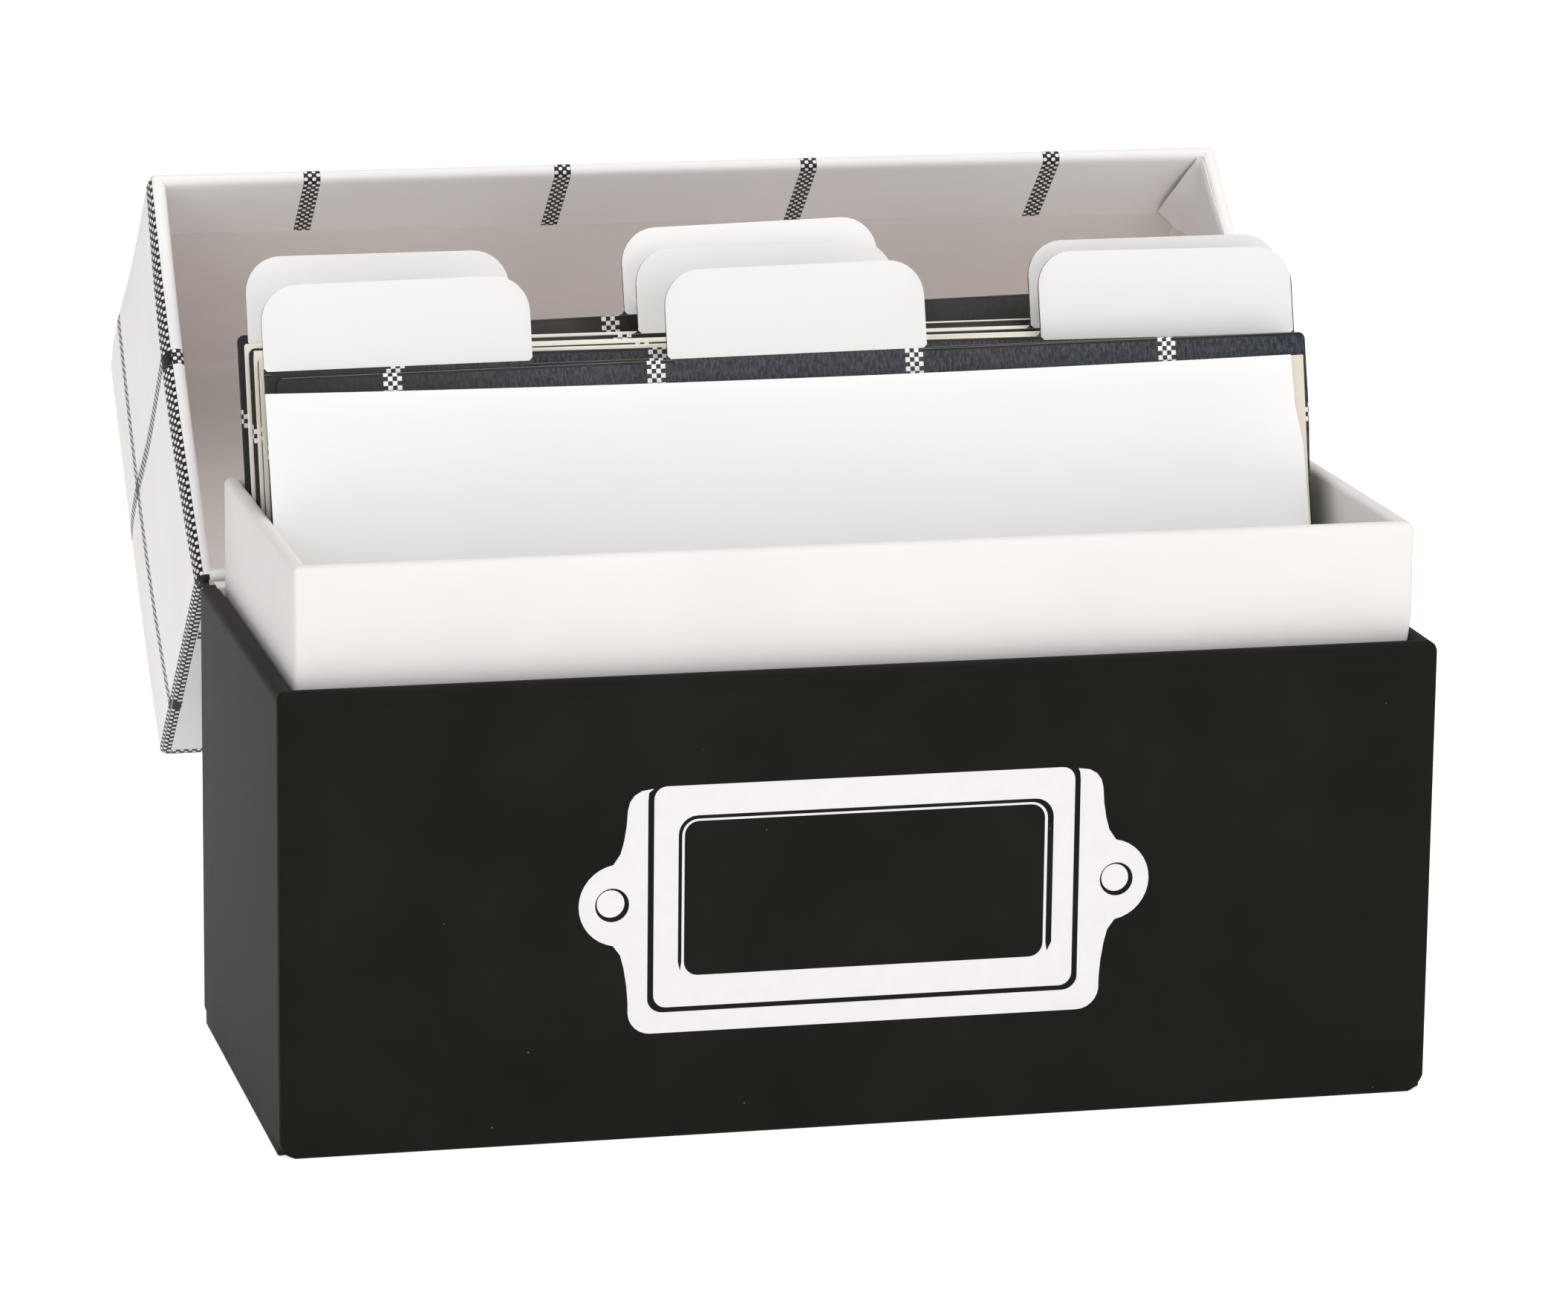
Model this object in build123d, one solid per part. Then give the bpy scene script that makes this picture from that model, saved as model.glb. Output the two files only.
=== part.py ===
from build123d import *
import math
import os

# Hinged box for recipe cards, in millimetres and degrees.
# X runs to the right, Y to the back and Z up. The origin is the middle of the underside.
# The box is board wrapped in paper: a black base, a white inner collar that stands above
# its rim, and a lid on a strip of hinge paper along the rear rim. The lid stands open.

# cards and dividers, which set the size of the box
card_width = 152.4
card_height = 101.6
card_board = 0.3
header_width = 149.4
header_height = 101.0
header_board = 0.35
divider_board = 0.5
shoulder_corner = 1.6
tab_width = 38.2
tab_height = 12.7
tab_corner = 5.2
tab_notch = 1.2

# boards and papers
wall_board = 2.4
floor_board = 2.4
collar_board = 1.8
lid_board = 1.8
paper = 0.2
hinge_paper = 0.12

# box
box_depth = 68.8
base_height = 65.8
box_corner = 1.2
side_play = 0.8
seat_gap = 0.7
head_room = 1.7
base_turn_in = 12.0
lid_turn_in = 16.6
turn_under = 12.0
sheet_margin = 1.5

# inner collar
collar_rise = 16.3
collar_gap = 0.3
collar_corner = 1.0
collar_tuck = 15.0
sweep_gap = 0.35

# lid hinge
lid_opening = 131.0
rim_gap = 0.3
hinge_setback = 0.3
hinge_leaf = 14.0
hinge_margin = 5.0

# how the cards and dividers stand: they lean back towards the collar's rear rim, and the
# front pair leans more, with its feet by the collar's front and its heads on the pack
pack_lean = 16.0
rim_play = 2.1
front_play = 2.2
pair_gap = 0.45
side_shift = -0.45
card_gap = 0.03

# the pack from the back to the front: each piece and the free space behind its foot
pack_spaces = {
    "divider_7": 0.0,
    "divider_6": 4.4,
    "cards_high": 0.5,
    "divider_5": 0.3,
    "cards_middle": 0.4,
    "divider_4": 0.2,
    "cards_low": 0.7,
    "divider_3": 1.9,
    "divider_2": 3.6,
    "divider_1": 0.7,
}
stack_depths = {"cards_high": 1.7, "cards_middle": 2.7, "cards_low": 2.0}
tab_places = {
    "divider_7": "middle",
    "divider_6": "left",
    "divider_5": "middle",
    "divider_4": "right",
    "divider_3": "right",
    "divider_2": "left",
    "divider_1": "middle",
}

# pieces that stand higher, off to one side or turned in their own plane
rises = {"divider_7": 2.2, "front_card": 0.2}
shifts = {
    "divider_7": 0.4,
    "divider_6": 0.3,
    "divider_5": -0.2,
    "divider_4": 0.8,
    "divider_3": 0.3,
    "divider_1": 0.9,
}
turns = {"divider_7": -0.45}

# places that follow from the sizes above
nearly = 0.01
wall = wall_board + 2 * paper
collar_wall = collar_board + 2 * paper
lid_wall = lid_board + 2 * paper
collar_inset = wall + collar_gap
box_width = card_width + 2 * (side_play + collar_wall + collar_inset)
half_width = box_width / 2
half_depth = box_depth / 2
board_low = 2 * paper
floor_top = board_low + floor_board + paper
seat_z = floor_top + seat_gap
lid_rim = base_height + rim_gap
lid_top = seat_z + card_height + tab_height + head_room + lid_wall
hinge_y = half_depth + hinge_setback
hinge_z = base_height + rim_gap / 2
collar_top = base_height + collar_rise
lean_slope = math.tan(math.radians(pack_lean))
lean_spread = 1 / math.cos(math.radians(pack_lean))

# the collar's front leans in, so that the lid's front rim can swing past its top edge
swing = box_depth + hinge_setback - lid_wall - sweep_gap
front_foot = collar_inset - half_depth
front_head = hinge_y - math.sqrt(swing**2 - (collar_top - hinge_z) ** 2)
front_slope = (front_head - front_foot) / (collar_top - floor_top)


def block(x_range, y_range, z_range):
    """A box between two limits along each axis."""
    spans = [high - low for low, high in (x_range, y_range, z_range)]
    middles = [(low + high) / 2 for low, high in (x_range, y_range, z_range)]
    return Pos(*middles) * Box(*spans)


def prism(inward, low, high):
    """The box's outline, drawn in by a distance, between two heights."""
    width = box_width - 2 * inward
    depth = box_depth - 2 * inward
    radius = box_corner - inward
    outline = RectangleRounded(width, depth, radius) if radius > nearly else Rectangle(width, depth)
    return Pos(0, 0, low) * extrude(outline, high - low)


def ring(outer, inner, low, high):
    return prism(outer, low, high) - prism(inner, low, high)


def collar_prism(inward, low, high):
    """The collar's outline, drawn in by a distance, between two heights."""
    foot = front_foot + front_slope * (low - floor_top) + inward
    head = front_foot + front_slope * (high - floor_top) + inward
    rear = half_depth - collar_inset - inward
    side = Polyline((foot, low), (rear, low), (rear, high), (head, high), close=True)
    reach = half_width - collar_inset - inward
    solid = extrude(Plane.YZ * make_face(side), reach, both=True)
    radius = collar_corner - inward
    if radius > nearly:
        upright = solid.edges().filter_by(lambda edge: abs((edge % 0.5).Z) > 0.9)
        solid = fillet(upright, radius)
    return solid


def collar_ring(outer, inner, low, high):
    return collar_prism(outer, low, high) - collar_prism(inner, low, high)


def four_walls(name, shell, front, back):
    """Cut a ring of board into a front, a back, a left and a right wall."""
    sides = shell - front - back
    left, right = sorted(sides.solids(), key=lambda solid: solid.center().X)
    return {
        f"{name}_front_board": shell & front,
        f"{name}_back_board": shell & back,
        f"{name}_left_board": left,
        f"{name}_right_board": right,
    }


def board_walls(name, board, low, high):
    """Four upright walls under the wrapping paper."""
    inner = paper + board
    across = (-half_width, half_width)
    front = block(across, (-half_depth, inner - half_depth), (low, high))
    back = block(across, (half_depth - inner, half_depth), (low, high))
    return four_walls(name, ring(paper, inner, low, high), front, back)


def wrapping(thick, rim, inside, closed_end):
    """Paper over four walls, rolled over their rim and turned in, with one end shut."""
    low, high = sorted((rim, closed_end))
    inward = math.copysign(1, closed_end - rim)
    cover = ring(0, paper, low, high)
    cover += ring(0, thick, *sorted((rim, rim + inward * paper)))
    cover += ring(thick - paper, thick, *sorted((rim, rim + inward * inside)))
    return cover


def base_pieces():
    pieces = board_walls("base", wall_board, board_low, base_height - paper)
    inner = paper + wall_board
    pieces["base_floor_board"] = prism(inner, board_low, board_low + floor_board)
    pieces["base_floor_liner"] = prism(inner, board_low + floor_board, floor_top)
    flaps = ring(0, turn_under, paper, board_low)
    pieces["base_wrap"] = wrapping(wall, base_height, base_turn_in, paper) + flaps
    pieces["base_bottom_sheet"] = prism(sheet_margin, 0, paper)
    return pieces


def collar_pieces():
    inner = paper + collar_board
    high = collar_top - paper
    shell = collar_ring(paper, inner, floor_top, high)
    across = (-half_width, half_width)
    tall = (0, 2 * collar_top)
    slab = block(across, (-half_depth, inner), (-collar_top, collar_top))
    front_lean = -math.degrees(math.atan(front_slope))
    front = Pos(0, front_foot, floor_top) * Rot(front_lean, 0, 0) * slab
    back = block(across, (half_depth - collar_inset - inner, half_depth), tall)
    pieces = four_walls("collar", shell, front, back)
    cover = collar_ring(0, paper, base_height - collar_tuck, collar_top)
    cover += collar_ring(0, collar_wall, high, collar_top)
    cover += collar_ring(inner, collar_wall, floor_top, collar_top)
    pieces["collar_wrap"] = cover
    return pieces


def lid_pieces():
    """The lid as it lies when it is shut."""
    board_top = lid_top - paper - lid_board
    inner = lid_wall - paper
    pieces = board_walls("lid", lid_board, lid_rim + paper, board_top)
    pieces["lid_top_board"] = prism(paper, board_top, lid_top - paper)
    cap = prism(0, lid_top - paper, lid_top)
    pieces["lid_wrap"] = wrapping(lid_wall, lid_rim, lid_turn_in, lid_top) + cap
    pieces["lid_wall_liner"] = ring(inner, lid_wall, lid_rim + lid_turn_in, board_top)
    pieces["lid_top_liner"] = prism(lid_wall, board_top - paper, board_top)
    return pieces


def hinge_strip(thick, rim, outward):
    """Half of the hinge paper: over the rear rim and along the wall's inner face."""
    across = (hinge_margin - half_width, half_width - hinge_margin)
    inner = half_depth - thick
    face = rim + outward * hinge_paper
    over = block(across, (inner - hinge_paper, half_depth - paper), sorted((rim, face)))
    along = block(across, (inner - hinge_paper, inner), sorted((face, rim - outward * hinge_leaf)))
    return over + along


def divider_sheet(name):
    """A divider standing on its foot, with its tab at one of three places."""
    tall = card_height + tab_height
    edge = card_width / 2
    slack = edge - tab_width / 2
    middle = {"left": -slack, "middle": 0, "right": slack}[tab_places[name]]
    outline = Pos(0, card_height / 2) * Rectangle(card_width, card_height)
    outline += Pos(middle, tall / 2) * Rectangle(tab_width, tall)

    def corners(height, low, high):
        level = outline.vertices().filter_by(lambda point: abs(point.Y - height) < nearly)
        return level.filter_by(lambda point: low < abs(point.X) < high)

    outline = fillet(corners(tall, 0, card_width), tab_corner)
    outline = fillet(corners(card_height, 0, edge - nearly), tab_notch)
    outline = fillet(corners(card_height, edge - nearly, card_width), shoulder_corner)
    return extrude(Plane.XZ * outline, -divider_board)


def card_sheet(width, height, thickness):
    return block((-width / 2, width / 2), (0, thickness), (0, height))


def standing(sheet, foot, lean, rise=0.0, shift=0.0, turn=0.0):
    """Lean a sheet back about the lower edge of its front face and stand it in its place."""
    place = Pos(side_shift + shift, foot, seat_z + rise)
    return place * Rot(-lean, 0, 0) * Rot(0, turn, 0) * sheet


def card_count(name):
    return int(stack_depths[name] / (card_board + card_gap))


def card_stack(foot, name):
    """Cards one behind the other, none of them quite level or in line."""
    cards = []
    for index in range(card_count(name)):
        rise = card_board * (index * 3 % 4) / 2
        shift = card_board * (index * 2 % 3 - 1) / 2
        step = index * (card_board + card_gap) * lean_spread
        sheet = card_sheet(card_width, card_height, card_board)
        cards.append(standing(sheet, foot + step, pack_lean, rise, shift))
    return Compound(children=cards)


def thickness(name):
    """How much of the pack's depth a divider or a stack of cards takes up."""
    if name not in stack_depths:
        return divider_board * lean_spread
    count = card_count(name)
    return (count * card_board + (count - 1) * card_gap) * lean_spread


def pack_pieces():
    rim = half_depth - collar_inset - collar_wall
    face = rim - rim_play - lean_slope * (collar_top - seat_z)
    pieces = {}
    for name, space in pack_spaces.items():
        face -= space + thickness(name)
        if name in stack_depths:
            pieces[name] = card_stack(face, name)
            continue
        sheet = divider_sheet(name)
        place = [table.get(name, 0.0) for table in (rises, shifts, turns)]
        pieces[name] = standing(sheet, face, pack_lean, *place)
    pieces.update(front_pair(face))
    return pieces


def front_pair(pack_face):
    """The header card and the card behind it, feet forward and heads on the pack."""
    foot = front_foot + collar_wall + front_play + header_board + 2 * pair_gap
    space = pack_face - foot - pair_gap - card_board * lean_spread
    extra = math.asin(space / lean_spread / card_height)
    lean = pack_lean + math.degrees(extra)
    card = card_sheet(card_width, card_height, card_board)
    header = card_sheet(header_width, header_height, header_board)
    ahead = header_board + 2 * pair_gap
    inset = (header_width - card_width) / 2
    return {
        "front_card": standing(card, foot, lean, rises["front_card"]),
        "header_card": standing(header, foot - ahead, lean, shift=inset),
    }


hinge_axis = Axis((0, hinge_y, hinge_z), (1, 0, 0))
lid = lid_pieces()
lid["hinge_lid_leaf"] = hinge_strip(lid_wall, lid_rim, -1)
opened = {name: solid.rotate(hinge_axis, -lid_opening) for name, solid in lid.items()}
parts = base_pieces() | collar_pieces() | opened | pack_pieces()
parts["hinge_base_leaf"] = hinge_strip(wall, base_height, 1)

os.makedirs("parts", exist_ok=True)
for name, shape in parts.items():
    export_step(shape, f"parts/{name}.step")
    print(f"{name}: {len(shape.solids())} solids, {shape.volume:.1f} mm3")
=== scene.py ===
import math

import bpy
from mathutils import Matrix, Vector


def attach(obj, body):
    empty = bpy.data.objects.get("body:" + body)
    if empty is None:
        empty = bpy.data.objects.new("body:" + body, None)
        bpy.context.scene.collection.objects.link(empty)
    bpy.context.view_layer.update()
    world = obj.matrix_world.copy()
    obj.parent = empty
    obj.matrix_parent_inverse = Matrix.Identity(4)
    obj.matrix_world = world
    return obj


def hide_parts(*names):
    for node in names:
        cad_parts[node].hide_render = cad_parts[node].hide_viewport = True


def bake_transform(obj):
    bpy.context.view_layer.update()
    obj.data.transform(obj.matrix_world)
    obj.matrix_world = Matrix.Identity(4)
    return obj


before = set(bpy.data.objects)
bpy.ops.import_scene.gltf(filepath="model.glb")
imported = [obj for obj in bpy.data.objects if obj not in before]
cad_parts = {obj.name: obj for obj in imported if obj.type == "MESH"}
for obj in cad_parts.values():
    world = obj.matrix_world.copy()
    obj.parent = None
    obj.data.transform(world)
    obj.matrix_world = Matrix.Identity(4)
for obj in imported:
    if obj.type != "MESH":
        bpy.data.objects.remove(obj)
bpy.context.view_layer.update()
mm = 0.001
print("frame loaded")

# camera

shot = {"place": (-220.69, -894.46, 277.29), "yaw": 13.63, "pitch": 13.21, "roll": 0.66, "lens": 152.5}

bpy.ops.object.camera_add()
camera = bpy.context.object
camera.name = "studioCamera"
camera.data.lens = shot["lens"]
camera.data.sensor_width = 36
camera.data.dof.use_dof = False
turned = Matrix.Rotation(math.radians(-shot["yaw"]), 4, "Z")
turned = turned @ Matrix.Rotation(math.radians(90 - shot["pitch"]), 4, "X")
turned = turned @ Matrix.Rotation(math.radians(shot["roll"]), 4, "Z")
camera.matrix_world = Matrix.Translation([value * mm for value in shot["place"]]) @ turned
bpy.context.scene.camera = camera
print("camera placed")


# colours and nodes

def toLinear(code):
    # turns an sRGB hex colour into the linear colour that the shader takes
    parts = [int(code[place:place + 2], 16) / 255 for place in (1, 3, 5)]
    bent = [part / 12.92 if part <= 0.04045 else ((part + 0.055) / 1.055) ** 2.4 for part in parts]
    return (*bent, 1.0)


def addNode(tree, kind, feeds=None, take=0, **settings):
    # adds a node, gives it its settings, feeds its sockets with values or links, and gives back an output
    node = tree.nodes.new("ShaderNode" + kind)
    for name, value in settings.items():
        setattr(node, name, value)
    for socket, value in (feeds or {}).items():
        if isinstance(value, bpy.types.NodeSocket):
            tree.links.new(value, node.inputs[socket])
        else:
            node.inputs[socket].default_value = value
    return node.outputs if take == "all" else node.outputs[take]


def perSize(size):
    # how often a texture repeats in a metre, from the size of its marks in millimetres
    return 1 / (size * mm)


def newFinish(name, roughness, specular):
    finish = bpy.data.materials.new(name)
    finish.use_nodes = True
    tree = finish.node_tree
    shader = tree.nodes["Principled BSDF"]
    shader.inputs["Roughness"].default_value = roughness
    shader.inputs["Specular IOR Level"].default_value = specular
    return finish, tree, shader


def paperGrain(tree, shader, place, size, depth):
    # the fine unevenness of a paper surface, its size and depth in millimetres
    grain = addNode(tree, "TexNoise", {"Vector": place, "Scale": perSize(size), "Detail": 3.0})
    bump = addNode(tree, "Bump", {"Height": grain, "Strength": 1.0, "Distance": depth * mm})
    tree.links.new(bump, shader.inputs["Normal"])


def tinted(tree, amount, dark, light, low=0.3, high=0.7):
    # runs between two colours as an amount goes from low to high
    ramp = addNode(tree, "ValToRGB", {"Fac": amount})
    for stop, position, colour in zip(ramp.node.color_ramp.elements, (low, high), (dark, light)):
        stop.position = position
        stop.color = toLinear(colour)
    return ramp


def stripeOfSquares(tree, across, along, step, middle, square, columns, spread):
    # one set of checked stripes: their band, and the squares printed in it, whose ink has spread a little
    width = square * columns
    shifted = addNode(tree, "Math", {0: across, 1: width / 2 - middle}, operation="ADD")
    inside = addNode(tree, "Math", {0: shifted, 1: step}, operation="FLOORED_MODULO")
    band = addNode(tree, "Math", {0: inside, 1: width}, operation="LESS_THAN")
    waves = []
    for value in (inside, along):
        wave = addNode(tree, "Math", {0: value, 1: math.pi / square}, operation="MULTIPLY")
        waves.append(addNode(tree, "Math", {0: wave}, operation="SINE"))
    both = addNode(tree, "Math", {0: waves[0], 1: waves[1]}, operation="MULTIPLY")
    odd = addNode(tree, "Math", {0: both, 1: spread}, operation="LESS_THAN")
    squares = addNode(tree, "Math", {0: odd, 1: band}, operation="MULTIPLY")
    return band, squares


def windowpane(tree, place, step, middles, square, columns, spread):
    # stripes of small squares that cross, with a solid block where they cross
    across, along, _ = addNode(tree, "SeparateXYZ", {"Vector": place}, take="all")
    bandA, squaresA = stripeOfSquares(tree, across, along, step[0], middles[0], square, columns, spread)
    bandB, squaresB = stripeOfSquares(tree, along, across, step[1], middles[1], square, columns, spread)
    block = addNode(tree, "Math", {0: bandA, 1: bandB}, operation="MULTIPLY")
    printed = addNode(tree, "Math", {0: squaresA, 1: squaresB}, operation="MAXIMUM")
    return addNode(tree, "Math", {0: printed, 1: block}, operation="MAXIMUM")


# where the black wrap's brushed ends start, painted paler as sheen, in millimetres
brushedSheenEnd = {"wall": 82.1, "rim": 79.7, "rimLow": 64.5, "behind": -33.0, "depth": 34.0}


# matt black soft-touch paper: almost no shine face on, a grey bloom at a low angle, upright brush marks on
# the two ends, whose paler brown tone is painted sheen, and stray lint
def blackWrapPaper():
    finish, tree, shader = newFinish("mattBlackWrapPaper", 0.6, 0.07)
    shader.inputs["Sheen Weight"].default_value = 0.015
    shader.inputs["Sheen Roughness"].default_value = 0.35
    place = addNode(tree, "TexCoord", take="Object")
    across, deep, tall = addNode(tree, "SeparateXYZ", {"Vector": place}, take="all")
    side = addNode(tree, "Math", {0: across}, operation="ABSOLUTE")
    onEnd = {}
    for start, value in (("wall", side), ("rim", side), ("rimLow", tall), ("behind", deep)):
        edge = brushedSheenEnd[start] * mm
        onEnd[start] = addNode(tree, "Math", {0: value, 1: edge}, operation="GREATER_THAN")
    onRim = addNode(tree, "Math", {0: onEnd["rim"], 1: onEnd["rimLow"]}, operation="MULTIPLY")
    onRim = addNode(tree, "Math", {0: onRim, 1: onEnd["behind"]}, operation="MULTIPLY")
    brushedAndSheenEnd = addNode(tree, "Math", {0: onEnd["wall"], 1: onRim}, operation="MAXIMUM")
    cloud = addNode(tree, "TexNoise", {"Vector": place, "Scale": perSize(16.67), "Detail": 3.0})
    front = tinted(tree, cloud, "#161410", "#1c1a16")
    upright = addNode(tree, "Mapping", {"Vector": place, "Scale": (1, 1, 0.05)})
    streak = addNode(tree, "TexNoise", {"Vector": upright, "Scale": perSize(0.6667), "Detail": 2.0})
    streak = addNode(tree, "MapRange", {"Value": streak, "From Min": -0.7, "From Max": 1.1})
    # painted sheen: the ends are painted paler and browner toward the back
    reach = brushedSheenEnd["depth"] * mm
    drift = addNode(tree, "MapRange", {"Value": deep, "From Min": -reach, "From Max": reach})
    paintedSheenTint = tinted(tree, drift, "#292726", "#3f3937", 0.05, 0.9)
    ends = {"Factor": streak, 6: toLinear("#1d1b18"), 7: paintedSheenTint}
    ends = addNode(tree, "Mix", ends, data_type="RGBA", take=2)
    tint = addNode(tree, "Mix", {"Factor": brushedAndSheenEnd, 6: front, 7: ends}, data_type="RGBA", take=2)
    # one speck of lint to a cell 2.4 mm across, in one cell out of ten
    cell = addNode(tree, "TexVoronoi", {"Vector": place, "Scale": 420.0, "Randomness": 1.0}, take="all")
    chance = addNode(tree, "TexWhiteNoise", {"Vector": cell["Position"]}, take="Value", noise_dimensions="3D")
    speck = {"Value": chance, "From Min": 0.9, "From Max": 1.0, "To Min": 0.0, "To Max": 0.06}
    speck = addNode(tree, "MapRange", speck)
    lint = addNode(tree, "Math", {0: cell["Distance"], 1: speck}, operation="LESS_THAN")
    grey = toLinear("#5d5a53")
    colour = addNode(tree, "Mix", {"Factor": lint, 6: tint, 7: grey}, data_type="RGBA", take=2)
    tree.links.new(colour, shader.inputs["Base Color"])
    paperGrain(tree, shader, place, 0.35, 0.012)
    return finish


# white lid paper printed in black: small checked squares in crossing stripes
lidPattern = {"step": (38.3, 38.3), "middles": (-58.1, 37.9), "square": 0.63, "columns": 4, "spread": 0.2}


def checkedLidPaper():
    finish, tree, shader = newFinish("printedWindowpanePaper", 0.5, 0.35)
    onSheet = addNode(tree, "UVMap", uv_map="sheetPlace")
    ink = windowpane(tree, onSheet, **lidPattern)
    place = addNode(tree, "TexCoord", take="Object")
    cloud = addNode(tree, "TexNoise", {"Vector": place, "Scale": perSize(20.0), "Detail": 3.0})
    paper = tinted(tree, cloud, "#f1edeb", "#f6f3f1")
    black = toLinear("#151211")
    colour = addNode(tree, "Mix", {"Factor": ink, 6: paper, 7: black}, data_type="RGBA", take=2)
    tree.links.new(colour, shader.inputs["Base Color"])
    paperGrain(tree, shader, place, 0.6, 0.008)
    return finish


# coated black divider card with a white tab: satin, with short upright fibres whose pale streaks are painted
# sheen, and a painted reflection from brown-black at one side to blue-grey at the other. Its fibres are drawn
# 0.4 mm apart, coarse enough to show
dividerPattern = {"step": (37.77, 37.77), "square": 0.66, "columns": 4, "spread": 0.0}


def dividerCard(name, sheet):
    finish, tree, shader = newFinish(name, 0.45, 0.4)
    place = addNode(tree, "UVMap", uv_map="sheetPlace")
    across, along, _ = addNode(tree, "SeparateXYZ", {"Vector": place}, take="all")
    middles = sheet["print"], sheet["height"] - sheet["level"]
    ink = windowpane(tree, place, middles=middles, **dividerPattern)
    upright = addNode(tree, "Mapping", {"Vector": place, "Scale": (1, 0.3, 1)})
    fibres = {"Vector": upright, "Scale": 2.6, "Detail": 3.0, "Roughness": 0.7}
    weave = addNode(tree, "TexNoise", fibres)
    patches = addNode(tree, "Mapping", {"Vector": place, "Scale": (1, 0.5, 1)})
    drift = addNode(tree, "TexNoise", {"Vector": patches, "Scale": 0.055, "Detail": 1.0})
    # painted reflection: the black runs from brown-black at one side to blue-grey patches at the other
    turn = {"Value": across, "From Min": sheet["blueSheenFrom"], "From Max": sheet["blueSheenFrom"] + 30}
    side = addNode(tree, "MapRange", turn)
    warm = tinted(tree, weave, "#1c1715", "#2c2624", 0.4, 0.75)
    blue = tinted(tree, weave, "#14181d", "#465062", 0.4, 0.72)
    grey = tinted(tree, weave, "#1b1a1b", "#48494e", 0.4, 0.72)
    cool = addNode(tree, "Mix", {"Factor": drift, 6: blue, 7: grey}, data_type="RGBA", take=2)
    black = addNode(tree, "Mix", {"Factor": side, 6: warm, 7: cool}, data_type="RGBA", take=2)
    # the tab is white from just over the body, and its foot is cut slanting
    start = sheet["height"] + sheet["white"]
    height = addNode(tree, "Math", {0: along, 1: start}, operation="SUBTRACT")
    above = addNode(tree, "Math", {0: height, 1: 0.0}, operation="GREATER_THAN")
    off = addNode(tree, "Math", {0: across, 1: sheet["tab"]}, operation="SUBTRACT")
    off = addNode(tree, "Math", {0: off}, operation="ABSOLUTE")
    cut = addNode(tree, "Math", {0: 0.5, 1: height}, operation="SUBTRACT")
    cut = addNode(tree, "Math", {0: cut, 1: 0.0}, operation="MAXIMUM")
    off = addNode(tree, "Math", {0: off, 1: cut}, operation="ADD")
    edge = sheet["tabWidth"] / 2 + 0.02
    within = addNode(tree, "Math", {0: off, 1: edge}, operation="LESS_THAN")
    white = addNode(tree, "Math", {0: above, 1: within}, operation="MULTIPLY")
    # a painted shadow darkens the body's top edge, where it meets the gap to the next sheet, and a pale line
    # on its very corner is rubbed wear with a painted highlight
    under = addNode(tree, "Math", {0: sheet["height"], 1: along}, operation="SUBTRACT")
    beside = addNode(tree, "Math", {0: 1.0, 1: within}, operation="SUBTRACT")
    onBody = addNode(tree, "Math", {0: under, 1: 0.0}, operation="GREATER_THAN")
    beside = addNode(tree, "Math", {0: beside, 1: onBody}, operation="MULTIPLY")
    for depth, shade in ((0.42, "#0d0c09"), (0.1, "#62615a")):
        line = addNode(tree, "Math", {0: under, 1: depth}, operation="LESS_THAN")
        line = addNode(tree, "Math", {0: line, 1: beside}, operation="MULTIPLY")
        feeds = {"Factor": line, 6: black, 7: toLinear(shade)}
        black = addNode(tree, "Mix", feeds, data_type="RGBA", take=2)
    squares, tab = toLinear("#f1efec"), toLinear(sheet["tabColour"])
    printed = addNode(tree, "Mix", {"Factor": ink, 6: black, 7: squares}, data_type="RGBA", take=2)
    colour = addNode(tree, "Mix", {"Factor": white, 6: printed, 7: tab}, data_type="RGBA", take=2)
    tree.links.new(colour, shader.inputs["Base Color"])
    relief = addNode(tree, "Math", {0: 1.0, 1: white}, operation="SUBTRACT")
    relief = addNode(tree, "Math", {0: relief, 1: weave}, operation="MULTIPLY")
    bump = addNode(tree, "Bump", {"Height": relief, "Strength": 0.7, "Distance": 0.05 * mm})
    tree.links.new(bump, shader.inputs["Normal"])
    return finish


# smooth white covering paper: soft, slightly warm, with a faint mottle
coverPaper = {"roughness": 0.55, "shine": 0.3, "mottle": 22.22, "detail": 3.0, "grain": (0.6, 0.008)}
# uncoated card: matt, with a slight warm mottle
plainCard = {"roughness": 0.6, "shine": 0.25, "mottle": 33.33, "detail": 3.0, "grain": (0.5, 0.006)}
# solid greyboard, rough and brown-grey, with fibres
greyBoard = {"roughness": 0.85, "shine": 0.2, "mottle": 1.111, "detail": 4.0, "grain": (0.4, 0.02)}
# cut edge of the black divider board: inked almost black, with pale torn fibres here and there
cutBoard = {"roughness": 0.8, "shine": 0.1, "mottle": 0.909, "detail": 2.0, "low": 0.52, "high": 0.72}
# opaque white ink, flat and a little smoother than the paper under it
flatInk = {"roughness": 0.5, "shine": 0.3, "mottle": 2.5, "detail": 2.0}


def mottled(name, kind, dark, light, **own):
    # paper, board or ink, mottled with two shades
    kind = {"low": 0.3, "high": 0.7, **kind, **own}
    finish, tree, shader = newFinish(name, kind["roughness"], kind["shine"])
    place = addNode(tree, "TexCoord", take="Object")
    mottle = {"Vector": place, "Scale": perSize(kind["mottle"]), "Detail": kind["detail"]}
    mottle = addNode(tree, "TexNoise", mottle)
    shade = tinted(tree, mottle, dark, light, kind["low"], kind["high"])
    tree.links.new(shade, shader.inputs["Base Color"])
    if "grain" in kind:
        paperGrain(tree, shader, place, *kind["grain"])
    return finish


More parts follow.
